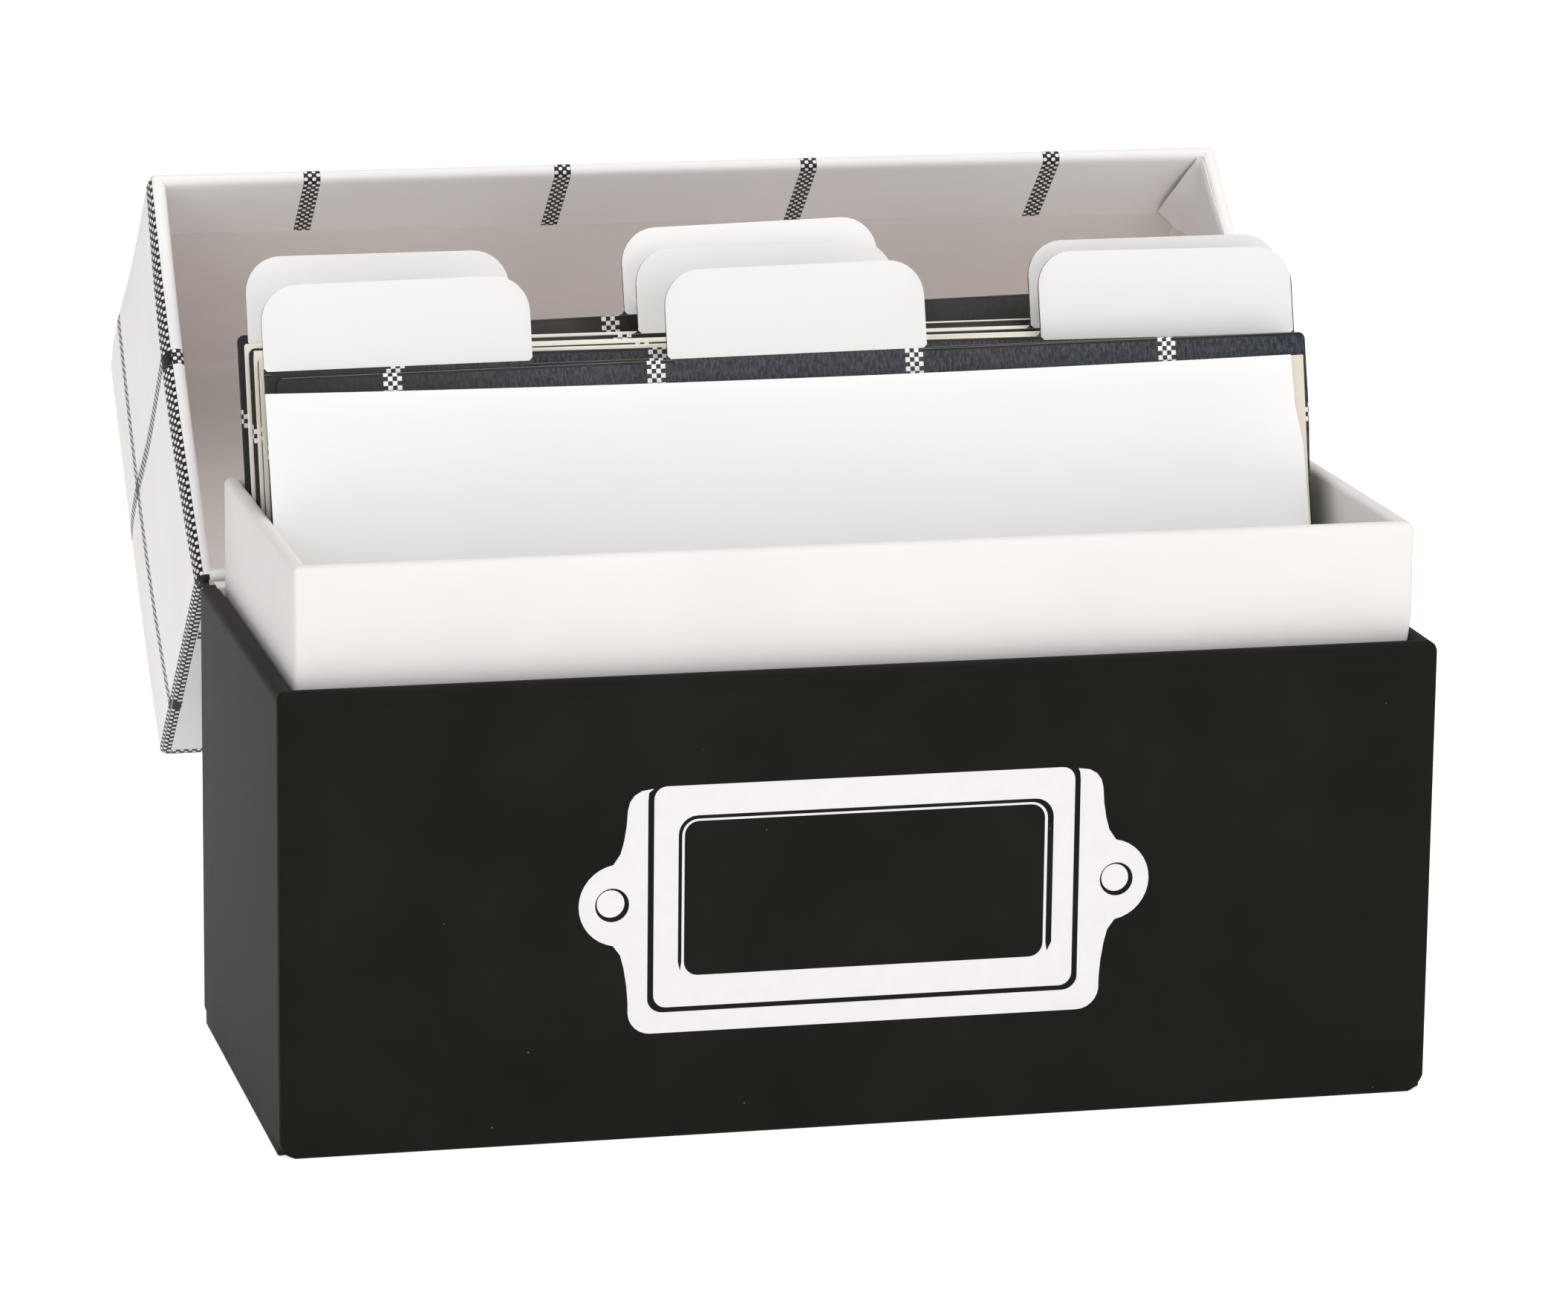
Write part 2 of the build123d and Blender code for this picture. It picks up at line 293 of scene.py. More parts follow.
blackPaper = blackWrapPaper()
collarPaper = mottled("whiteCollarPaper", coverPaper, "#e6e2e0", "#ebe7e5")
hingePaper = mottled("whiteHingePaper", coverPaper, "#efebe8", "#f6f3f0", roughness=0.6)
liningPaper = mottled("paleLiningPaper", coverPaper, "#f0eae7", "#f5efec", roughness=0.65)
lidPaper = checkedLidPaper()
creamCard = mottled("creamRecipeCard", plainCard, "#f2ebdd", "#f7f2e6")
headerCard = mottled("whiteHeaderCard", plainCard, "#f1f0ef", "#f5f4f2")
# painted shade: the front card is a darker cream than the stacks, for the shade of the header card in front
# of it
shadedFrontCream = mottled("shadedCreamFrontCard", plainCard, "#dbd2c1", "#e0d8c8")
solidBoard = mottled("greyboard", greyBoard, "#8f8a80", "#b3ada2")
dividerEdge = mottled("cutDividerEdge", cutBoard, "#0d0c0a", "#8d877f")
cardEdge = mottled("cutCardEdge", plainCard, "#f3efe8", "#faf7f1")
bottomPaper = mottled("blackBottomPaper", plainCard, "#1d1b19", "#252320")
whiteInk = mottled("whiteLabelInk", flatInk, "#e4e1e0", "#e7e4e3")
print("finishes made")


# modelling helpers

def only(piece):
    # leaves one piece selected and active, out of edit mode
    if bpy.context.object and bpy.context.object.mode != "OBJECT":
        bpy.ops.object.mode_set(mode="OBJECT")
    bpy.ops.object.select_all(action="DESELECT")
    piece.select_set(True)
    bpy.context.view_layer.objects.active = piece


def pick(piece, kind, test):
    # opens a piece for editing with the faces, edges or points selected that pass a test of their place
    only(piece)
    mesh = piece.data
    for group in (mesh.vertices, mesh.edges, mesh.polygons):
        group.foreach_set("select", [False] * len(group))
    if kind == "FACE":
        for face in mesh.polygons:
            face.select = test(face.center / mm, face.normal)
    elif kind == "EDGE":
        for edge in mesh.edges:
            start, end = [mesh.vertices[point].co / mm for point in edge.vertices]
            edge.select = test((start + end) / 2, (end - start).normalized())
    else:
        for point in mesh.vertices:
            point.select = test(point.co / mm)
    bpy.context.tool_settings.mesh_select_mode = (kind == "VERT", kind == "EDGE", kind == "FACE")
    bpy.ops.object.mode_set(mode="EDIT")


def near(value, target, slack=0.02):
    return abs(value - target) < slack


def cutAcross(piece, axis, places):
    # cuts a piece through at places along an axis, so that it can bend there
    for place in places:
        pick(piece, "FACE", lambda centre, normal: True)
        normal = [float(axis == index) for index in range(3)]
        bpy.ops.mesh.bisect(plane_co=[place * mm * part for part in normal], plane_no=normal)
    only(piece)


def evenly(start, end, count):
    return [start + (end - start) * (index + 1) / (count + 1) for index in range(count)]


def applyModifiers(piece):
    only(piece)
    for modifier in list(piece.modifiers):
        bpy.ops.object.modifier_apply(modifier=modifier.name)


def reshape(piece, move):
    # moves each point of a mesh, in millimetres
    for point in piece.data.vertices:
        point.co = Vector(move(point.co / mm)) * mm
    piece.data.update()


def finishPiece(piece, finish, body, slot, *nodes):
    if not piece.data.materials:
        piece.data.materials.append(finish)
    only(piece)
    bpy.ops.object.shade_smooth_by_angle(angle=math.radians(40))
    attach(piece, body)
    if nodes:
        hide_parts(*nodes)
    bpy.ops.object.select_all(action="DESELECT")


def setWeights(piece, weigh):
    # marks how far each edge is to be rounded, from 0 to 1
    mesh, name = piece.data, "bevel_weight_edge"
    marks = mesh.attributes.get(name) or mesh.attributes.new(name, "FLOAT", "EDGE")
    for edge in mesh.edges:
        start, end = [mesh.vertices[point].co / mm for point in edge.vertices]
        marks.data[edge.index].value = weigh((start + end) / 2, (end - start).normalized())


def roundEdges(piece, radius, weigh, segments=4):
    setWeights(piece, weigh)
    rounding = piece.modifiers.new("rounding", "BEVEL")
    rounding.limit_method = "WEIGHT"
    rounding.width = radius * mm
    rounding.segments = segments
    applyModifiers(piece)


def thicken(piece, depth, offset=-1.0):
    pick(piece, "VERT", lambda point: True)
    bpy.ops.mesh.remove_doubles(threshold=0.02 * mm)
    only(piece)
    paper = piece.modifiers.new("paper", "SOLIDIFY")
    paper.thickness = depth * mm
    paper.offset = offset
    applyModifiers(piece)


def addBlock(name, low, high):
    # a cube between two corners, to be shaped further
    middle = [(start + end) / 2 * mm for start, end in zip(low, high)]
    size = [(end - start) * mm for start, end in zip(low, high)]
    bpy.ops.mesh.primitive_cube_add(size=1, location=middle, scale=size)
    piece = bpy.context.object
    piece.name = piece.data.name = name
    bpy.ops.object.transform_apply(location=True, rotation=True, scale=True)
    return piece


def setPlaces(piece, place):
    # stores where each corner of each face lies on the flat sheet, in millimetres
    mesh = piece.data
    layer = mesh.uv_layers.get("sheetPlace") or mesh.uv_layers.new(name="sheetPlace")
    for face in mesh.polygons:
        for corner in face.loop_indices:
            point = mesh.vertices[mesh.loops[corner].vertex_index].co / mm
            layer.data[corner].uv = place(point, face.center / mm, face.normal)
    mesh.uv_layers.active = layer


def setOrder(piece):
    # insetting leaves the faces in an order that changes from run to run, which would round the corners
    # differently: this puts them in a fixed one
    mesh = piece.data
    points = [point.co[:] for point in mesh.vertices]
    rings = [list(face.vertices) for face in mesh.polygons]
    rings = [ring[ring.index(min(ring)):] + ring[:ring.index(min(ring))] for ring in rings]
    mesh.clear_geometry()
    mesh.from_pydata(points, [], sorted(rings))


def isMitre(line):
    # the slanting lines across the corners of a rim
    return min(abs(line.x), abs(line.y)) > 0.5


# paper wrapped over four walls of board, rolled over their rim and turned in

def wrappedShell(name, wrap):
    low, high, side = wrap["low"], wrap["high"], wrap["openSide"]
    rim = high[2] if side > 0 else low[2]
    shut = low[2] if side > 0 else high[2]
    half = (high[0] - low[0]) / 2, (high[1] - low[1]) / 2
    piece = addBlock(name, low, high)
    pick(piece, "FACE", lambda centre, normal: normal.z * side > 0.9)
    bpy.ops.mesh.inset(thickness=wrap["wall"] * mm)
    turnIn = (0, 0, -side * wrap["turnIn"] * mm)
    bpy.ops.mesh.extrude_region_move(TRANSFORM_OT_translate={"value": turnIn})
    bpy.ops.mesh.delete(type="FACE")
    if wrap.get("turnUnder"):
        pick(piece, "FACE", lambda centre, normal: normal.z * side < -0.9)
        bpy.ops.mesh.inset(thickness=wrap["turnUnder"] * mm)
        bpy.ops.mesh.delete(type="FACE")
    only(piece)
    setOrder(piece)

    def weigh(middle, line):
        outer = abs(middle.x) > half[0] - 0.1 or abs(middle.y) > half[1] - 0.1
        if abs(line.z) > 0.9:
            return wrap["upright"] if outer else 0.25 * wrap["upright"]
        if near(middle.z, rim) and not isMitre(line):
            return 1.0
        return wrap["foot"] if near(middle.z, shut) and outer else 0.0

    roundEdges(piece, wrap["rim"], weigh)
    return piece


def cutGrid(piece, low, high, counts):
    for axis, count in enumerate(counts):
        cutAcross(piece, axis, evenly(low[axis], high[axis], count))


# base

base = {
    "low": (-82.3, -34.4, 0.2), "high": (82.3, 34.4, 65.8), "openSide": 1, "wall": 2.8, "turnIn": 12.0,
    "turnUnder": 12.0, "rim": 1.3, "upright": 0.4, "foot": 0.3, "board": 2.4, "paper": 0.2,
    "boardFoot": 0.5, "crushReach": 2.2, "crushPush": 0.3, "paperDrawn": 0.18,
}


def crushCorners(point):
    # presses the four bottom corners of the box in a little, as wrapped board corners are
    low, high, reach = base["low"], base["high"], base["crushReach"]
    depths = [max(0.0, reach - min(point[axis] - low[axis], high[axis] - point[axis])) for axis in (0, 1)]
    depths.append(max(0.0, reach - (point.z - low[2])))
    share = base["crushPush"] * min(depths) / reach
    x = point.x - math.copysign(depths[0] * share, point.x)
    y = point.y - math.copysign(depths[1] * share, point.y)
    return x, y, point.z + depths[2] * share


def edgedBoard(name, low, high, edge, rim):
    # a piece of board with the edges at its rim end rounded under the paper
    piece = addBlock(name, low, high)
    roundEdges(piece, edge, lambda middle, line: float(near(middle.z, rim) and abs(line.z) < 0.1))
    return piece


def fourBoards(prefix, wrap, far, change, body):
    # the front, back, left and right boards, between the rim and the far end
    rim = wrap["high"][2] - wrap["paper"] if wrap["openSide"] > 0 else wrap["low"][2] + wrap["paper"]
    outX, outY = wrap["high"][0] - wrap["paper"], wrap["high"][1] - wrap["paper"]
    inX, inY = outX - wrap["board"], outY - wrap["board"]
    low, high = min(rim, far), max(rim, far)
    edge = wrap["rim"] - wrap["paper"] + 0.04
    spans = {
        "front": ((-outX, -outY, low), (outX, -inY, high)), "back": ((-outX, inY, low), (outX, outY, high)),
        "left": ((-outX, -inY, low), (-inX, inY, high)), "right": ((inX, -inY, low), (outX, inY, high)),
    }
    for side, (start, end) in spans.items():
        piece = edgedBoard(prefix + side.capitalize() + "Board", start, end, edge, rim)
        cutGrid(piece, start, end, (7, 5, 3))
        cutAcross(piece, 2, wrap.get("bends", []))
        reshape(piece, change)
        finishPiece(piece, solidBoard, body, "greyboard", prefix + "_" + side + "_board")


baseCover = wrappedShell("baseCover", base)
cutGrid(baseCover, base["low"], base["high"], (11, 5, 5))
for axis in (0, 1):
    half = base["high"][axis]
    places = [side * (half - inset) for side in (-1, 1) for inset in (0.6, 1.1, 1.6, 2.2)]
    cutAcross(baseCover, axis, places)
cutAcross(baseCover, 2, [0.7, 1.2, 1.8, 2.4, 61.4, 62.1, 62.7, 63.2, 63.7, 64.2])

ridge = {"high": 62.9, "proud": 0.3, "wide": 0.8, "end": 80.5, "fade": 6.0}
dip = {"high": 64.3, "deep": 0.22, "wide": 0.6}
hang = {"drop": 0.15, "below": 0.6, "inset": 1.1}


def swellRim(point):
    # the front paper stands off the board in a soft ridge under the rim, and the foot hangs a hair lower
    middle = min(1.0, max(0.0, (ridge["end"] - abs(point.x)) / ridge["fade"])) * (point.y < -33.9)
    swell = ridge["proud"] * math.exp(-(((point.z - ridge["high"]) / ridge["wide"]) ** 2))
    swell -= dip["deep"] * math.exp(-(((point.z - dip["high"]) / dip["wide"]) ** 2))
    atEdge = any(abs(point[axis]) > base["high"][axis] - hang["inset"] for axis in (0, 1))
    return point.x, point.y - swell * middle, point.z - hang["drop"] * (point.z < hang["below"]) * atEdge


reshape(baseCover, swellRim)
reshape(baseCover, crushCorners)
thicken(baseCover, base["paperDrawn"])
finishPiece(baseCover, blackPaper, "base", "black_wrap", "base_wrap")
fourBoards("base", base, base["boardFoot"], crushCorners, "base")

bottom = {"low": (-80.8, -32.9, 0.02), "high": (80.8, 32.9, 0.2), "corner": 5.0}

bottomSheet = addBlock("bottomSheet", bottom["low"], bottom["high"])
roundEdges(bottomSheet, bottom["corner"], lambda middle, line: float(abs(line.z) > 0.9), 6)
cutGrid(bottomSheet, bottom["low"], bottom["high"], (9, 5, 0))
finishPiece(bottomSheet, bottomPaper, "base", "black_wrap", "base_bottom_sheet")
print("base made")

# collar, whose front wall leans in

collar = {
    "low": (-79.2, -31.3, 50.8), "high": (79.2, 31.3, 82.1), "openSide": 1, "wall": 2.2, "turnIn": 79.0,
    "rim": 1.0, "upright": 0.7, "foot": 0.0, "board": 1.8, "paper": 0.2, "paperDrawn": 0.18,
    "floor": 3.0, "frontSlope": 0.01822, "bends": [64, 69], "flareMiddle": 0.35, "flareSlope": 0.009,
}

collarCover = wrappedShell("collarCover", collar)
pick(collarCover, "FACE", lambda centre, normal: near(centre.z, collar["low"][2]) and normal.z < -0.9)
bpy.ops.mesh.delete(type="FACE")
cutGrid(collarCover, (-79.2, -31.3, 66), (79.2, 31.3, 82), (11, 5, 3))
cutAcross(collarCover, 2, collar["bends"])


def leanFront(point):
    # draws the front wall in, more towards the top, and lets the right wall flare out a little
    share = max(0.0, min(1.0, (-point.y - 20) / 9.1))
    start, end = collar["bends"]
    flare = (collar["flareMiddle"] - collar["flareSlope"] * point.y) * (point.x > 70)
    flare *= max(0.0, min(1.0, (point.z - start) / (end - start)))
    return point.x + flare, point.y + share * collar["frontSlope"] * (point.z - collar["floor"]), point.z


reshape(collarCover, leanFront)
thicken(collarCover, collar["paperDrawn"])
finishPiece(collarCover, collarPaper, "base", "white_paper", "collar_wrap")
fourBoards("collar", collar, collar["floor"], leanFront, "base")
print("collar made")

# lid, made as it lies when it is shut and then turned open

hinge = {"y": 34.7, "z": 65.95, "opening": 131.0}
openTurn = Matrix.Rotation(math.radians(-hinge["opening"]), 3, "X")
hingeLine = Vector((0, hinge["y"], hinge["z"]))


def swingOpen(point):
    return openTurn @ (Vector(point) - hingeLine) + hingeLine


lid = {
    "low": (-82.3, -34.4, 66.1), "high": (82.3, 34.4, 121.9), "openSide": -1, "wall": 2.2, "turnIn": 16.6,
    "rim": 1.0, "upright": 0.9, "foot": 1.0, "board": 1.8, "paper": 0.2, "flap": 1.6,
    "boardTop": 119.9, "paperDrawn": 0.18, "tall": 55.8,
}


def lidBow(point):
    # the walls have warped outwards: the left one a little at its rim and most on its outer side, deep
    # inside, the right one most half way along its rim, and the front one evenly along its rim
    across = hinge["y"] - point.y
    depth = max(0.0, point.z - hinge["z"])
    level = max(0.0, 1 - depth / 56)
    swell = math.sin(math.pi * min(1.0, max(0.0, across / 70)))
    shift = 0.45 * swell * level
    if abs(point.x) > 81.2 or depth > 54.5:
        roll = min(1.0, depth / 3.2)
        flare = (0.4 + 0.6 * swell) * level + 0.45 * max(0.0, across / 69) * depth / 56
        along = 1 - (1 - min(across, 35) / 35) ** 2
        shift += flare * roll * roll * (3 - 2 * roll) + 0.75 * math.exp(-(((depth - 45) / 13) ** 2)) * along
    share = min(1.0, max(0.0, (-point.x - 55) / 25))
    x = point.x - shift * share * share * (3 - 2 * share)
    share = min(1.0, max(0.0, (point.x - 55) / 25))
    out = 1.75 * swell + (0.9 + 0.05 * depth) * max(0.0, across / 69) ** 2
    x += out * level * share * share * (3 - 2 * share)
    share = min(1.0, max(0.0, (-point.y - 15) / 16))
    return x, point.y - 0.55 * level * share * share * (3 - 2 * share), point.z


def aroundCorner(first, second, radius):
    # distance along a sheet that turns a rounded corner, from where the corner starts
    if second > radius:
        return radius * math.pi / 2 + second - radius
    if first > radius:
        return radius - first
    return radius * (math.pi / 2 - math.atan2(radius - second, max(radius - first, 1e-6)))


def lidRun(rise, inward):
    # distance along the sheet from the top's edge, down the wall, round the rim and back up inside
    radius, straight = lid["rim"], lid["tall"] - lid["rim"]
    if inward < lid["wall"] / 2:
        if rise > radius:
            return lid["tall"] - rise
        if inward > radius:
            return straight + radius * math.pi / 2 + inward - radius
        return straight + radius * math.atan2(radius - rise, max(radius - inward, 1e-6))
    turned = straight + radius * math.pi / 2 + lid["wall"] - 2 * radius
    inner = inward - (lid["wall"] - radius)
    if rise > radius:
        return turned + radius * math.pi / 2 + rise - radius
    return turned + radius * math.atan2(max(inner, 0.0), max(radius - rise, 1e-6))


def lidSheetPlace(point, centre, normal):
    # the printed sheet as it lies flat, before it is folded over the top, the walls and the rim
    halfX, halfY, _ = lid["high"]
    insetX, insetY = halfX - abs(centre.x), halfY - abs(centre.y)
    across = hinge["y"] - point.y
    if centre.z > 121.3 and abs(normal.z) > 0.5:
        return point.x, across
    pointX, pointY, rise = halfX - abs(point.x), halfY - abs(point.y), point.z - lid["low"][2]
    onFlap = insetY < 0.9 and insetX < lid["flap"]
    if insetX < insetY or onFlap:
        run = lid["tall"] - rise if onFlap else lidRun(rise, pointX)
        if centre.y > 30 and pointX < 1.65:
            across = aroundCorner(pointX, pointY, lid["upright"]) - 1.76 + lid["flap"] - lid["upright"]
        shift = 2.46 - 0.011 * across if centre.x < 0 else 0.0
        return math.copysign(halfX + run - shift, centre.x), across
    run = lidRun(rise, pointY)
    return point.x, (hinge["y"] + halfY + run if centre.y < 0 else hinge["y"] - halfY - run)


lidCover = wrappedShell("lidCover", lid)
cutGrid(lidCover, lid["low"], lid["high"], (11, 7, 7))
cutAcross(lidCover, 0, [-80.7, 80.7])
cutAcross(lidCover, 2, [67.8, 68.5, 69.4, 71])
setPlaces(lidCover, lidSheetPlace)
reshape(lidCover, lidBow)
reshape(lidCover, swingOpen)
thicken(lidCover, lid["paperDrawn"])
finishPiece(lidCover, lidPaper, "lid", "check_paper", "lid_wrap")


def bowedOpen(point):
    return swingOpen(lidBow(point))


fourBoards("lid", lid, lid["boardTop"], bowedOpen, "lid")

lining = {
    "low": (-80.08, -32.18, 81.2), "high": (80.08, 32.18, 119.3), "fold": 2.2, "thick": 0.06,
    "frontEdge": 80.05, "endEdge": 78.0,
}


def trimLining(point):
    # its edge was not cut quite straight, and it reaches nearer to the rim on the two ends
    if point.z > 85:
        return point
    if point.y < -31.5:
        slant = 0.0172 * max(0.0, point.x + 52) + 1.6 * max(0.0, (-76.2 - point.x) / 3.8)
        return point.x, point.y, lining["frontEdge"] + slant
    return point.x, point.y, lining["endEdge"] + 2.6 * max(0.0, (-26 - point.y) / 6) ** 2


lidLining = addBlock("lidLining", lining["low"], lining["high"])
pick(lidLining, "FACE", lambda centre, normal: normal.z < -0.9)
bpy.ops.mesh.delete(type="FACE")
only(lidLining)
roundEdges(
    lidLining, lining["fold"], lambda middle, line: 1.0 if middle.z > 119 else 0.2 * (abs(line.z) > 0.9), 5
)
cutGrid(lidLining, lining["low"], lining["high"], (15, 9, 3))
cutAcross(lidLining, 0, [-78.6, -77.4, -76.2])
cutAcross(lidLining, 1, [-31, -29.5, -28, -26])
pick(lidLining, "FACE", lambda centre, normal: True)
bpy.ops.mesh.flip_normals()
only(lidLining)
reshape(lidLining, trimLining)
reshape(lidLining, bowedOpen)
thicken(lidLining, lining["thick"], 1.0)
finishPiece(lidLining, liningPaper, "lid", "liner_paper", "lid_wall_liner", "lid_top_liner")

# where the turned-in paper of an end wall laps over the front wall's, in the two front corners
lap = {"rim": 66.35, "reach": 17.0, "over": 3.8, "wallX": 80.1, "wallY": -32.2, "proud": 0.32, "thick": 0.2}


def lapPlace(along, depth):
    # along runs from the lap's edge on the front wall, round the corner, and up the end wall
    radius = 0.8 + 4.5 * min(1.0, depth / 7)
    half = radius * math.pi / 4
    straight = along - lap["over"] + radius - half
    turnIn = 1 - math.sqrt(max(0.0, 1 - max(0.0, 1 - depth - 0.25) ** 2))
    proud = lap["proud"] - 0.42 * min(1.0, max(0.0, (along - 10) / 6)) - turnIn
    if straight < -half:
        x, y = lap["wallX"] + straight - radius + half, lap["wallY"] + proud
    elif straight > half:
        x, y = lap["wallX"] - proud, lap["wallY"] + straight + radius - half
    else:
        turn = math.pi / 4 + straight / radius
        x = lap["wallX"] - radius + (radius - proud) * math.sin(turn)
        y = lap["wallY"] + radius - (radius - proud) * math.cos(turn)
    return x, y, lap["rim"] + depth


def lapShape(point):
    # bends a flat square, one metre wide, into the lap with its rounded front and lower edges
    first, second = point.x / 1000, point.y / 1000
    along = first * lap["reach"] + 2.8 * (1 - second) ** 1.6 * (1 - first)
    if along < lap["over"]:
        foot = 14.4 + 2.0 * (along / lap["over"]) ** 0.7
    else:
        foot = 11.9 + 4.5 * max(0.0, 1 - (along - lap["over"]) / 8) ** 1.6
    return lapPlace(along, second * foot)


bpy.ops.mesh.primitive_plane_add(size=1, location=(0.5, 0.5, 0))
cornerLap = bpy.context.object
cornerLap.name = cornerLap.data.name = "lidCornerLapRight"
bpy.ops.object.transform_apply(location=True)
pick(cornerLap, "FACE", lambda centre, normal: True)
bpy.ops.mesh.subdivide(number_cuts=23)
only(cornerLap)
reshape(cornerLap, lapShape)
setPlaces(cornerLap, lambda point, centre, normal: (point.x - 117, point.z - 55))
reshape(cornerLap, bowedOpen)
thicken(cornerLap, lap["thick"])
finishPiece(cornerLap, hingePaper, "lid", "check_paper")
print("lid made")

# hinge paper, from inside the base's back wall over its rim and up into the lid

strip = {
    "path": [(31.54, 51.8), (31.54, 65.86), (34.25, 65.86), (35.03, 66.18), (36.4, 67.82), (46.95, 58.65)],
    "half": 77.3, "rimHalf": 80.3, "fold": 0.3, "thick": 0.1,
}


def stripAlong(name, path, half):
    # a strip of paper drawn out from its first edge along a path seen from the side
    bpy.ops.mesh.primitive_plane_add(size=1)
    piece = bpy.context.object
    piece.name = piece.data.name = name
    piece.scale = (2 * half * mm, mm, 1)
    bpy.ops.object.transform_apply(scale=True)
    reshape(piece, lambda point: (point.x, *path[0 if point.y < 0 else 1]))
    for start, end in zip(path[1:], path[2:]):
        pick(piece, "EDGE", lambda middle, line: near(middle.y, start[0]) and near(middle.z, start[1]))
        step = (0, (end[0] - start[0]) * mm, (end[1] - start[1]) * mm)
        bpy.ops.mesh.extrude_region_move(TRANSFORM_OT_translate={"value": step})
    only(piece)
    return piece


def widenOnRim(point):
    # the strip is wider where it lies on the base's rear rim
    if abs(point.x) > 77 and 31.2 < point.y < 34.4 and point.z > 65:
        return math.copysign(strip["rimHalf"], point.x), point.y, point.z
    return point


hingeStrip = stripAlong("hingeStrip", strip["path"], strip["half"])
roundEdges(
    hingeStrip, strip["fold"], lambda middle, line: float(abs(line.x) > 0.9 and 31 < middle.y < 46), 3
)
cutAcross(hingeStrip, 0, evenly(-strip["half"], strip["half"], 9))
reshape(hingeStrip, widenOnRim)
thicken(hingeStrip, strip["thick"], 0.0)
hingeStrip.data.materials.append(hingePaper)
only(hingeStrip)
bpy.ops.object.shade_smooth_by_angle(angle=math.radians(40))
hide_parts("hinge_base_leaf", "hinge_lid_leaf")
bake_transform(hingeStrip)
print("hinge made")

# the sheets in the box: each is drawn flat, bowed a little, leaned back and stood on its foot. dip is how
# far the middle of the top edge hangs, slant tilts the top edge, clear lifts the foot, rightEdge is how
# far the right edge is pulled at each height, and leftIn how far the top of the left edge is pushed in
sheetHalf, sheetTall = 76.2, 101
plainStand = {"turn": 0, "dip": 0, "slant": 0, "clear": 0, "leftIn": 0, "rightEdge": [(0, 0), (120, 0)]}


def pulledAt(height, pull):
    for (low, start), (high, end) in zip(pull, pull[1:]):
        if low <= height <= high:
            return start + (end - start) * (height - low) / (high - low)
    return 0.0


def standSheet(piece, given):
    stand = {**plainStand, **given}
    lean, turn = math.radians(stand["lean"]), math.radians(stand["turn"])

    def place(point):
        side, high = point.x / sheetHalf, point.y / sheetTall
        tall = point.y - stand["dip"] * high ** 3 * (1 - side ** 2)
        tall += stand["slant"] * point.x * high ** 3
        tall += stand["clear"] * max(0.0, 1 - point.y / 50)
        if side > 0:
            x = point.x + pulledAt(point.y, stand["rightEdge"]) * side ** 2
        else:
            x = point.x + stand["leftIn"] * side ** 2 * tall / sheetTall
        across = x * math.cos(turn) + tall * math.sin(turn)
        up = tall * math.cos(turn) - x * math.sin(turn)
        back = point.z - stand["bow"] * (1 - (x / sheetHalf) ** 2)
        y = stand["foot"] - base["high"][1] + up * math.sin(lean) + back * math.cos(lean)
        return across + stand["x"], y, stand["z"] + up * math.cos(lean) - back * math.sin(lean)

    reshape(piece, place)


def flatSheet(name, width, height):
    bpy.ops.mesh.primitive_plane_add(size=1, location=(0, height / 2 * mm, 0))
    piece = bpy.context.object
    piece.name = piece.data.name = name
    piece.scale = (width * mm, height * mm, 1)
    bpy.ops.object.transform_apply(location=True, scale=True)
    return piece


def raiseThickness(piece, depth):
    # pulls the flat sheet back into a thin board with slightly rounded edges
    body = piece.modifiers.new("thickness", "SOLIDIFY")
    body.thickness = depth * mm
    body.offset = 1.0
    edge = piece.modifiers.new("edge", "BEVEL")
    edge.width = 0.08 * mm
    edge.segments = 2
    edge.limit_method = "ANGLE"
    edge.angle_limit = math.radians(60)
    applyModifiers(piece)


def roundCorners(piece, radius, segments, test):
    pick(piece, "VERT", test)
    bpy.ops.mesh.bevel(offset=radius * mm, segments=segments, affect="VERTICES")
    only(piece)


seat = 3.7  # the height on which every sheet stands
# tabColour is painted paler on the rear sheets, whose tabs stand in more shade, and darker on the front ones,
# where more light falls
divider = {
    "board": 0.5, "top": 114.3, "tabCorner": 5.2, "notch": 0.9, "shoulder": 1.0, "lean": 16.0,
    "tabWidth": 38.2, "rise": 0.0, "white": 0.0, "level": 11.4, "blueSheenFrom": -62.0, "tabColour": "#e8e7e5",
}
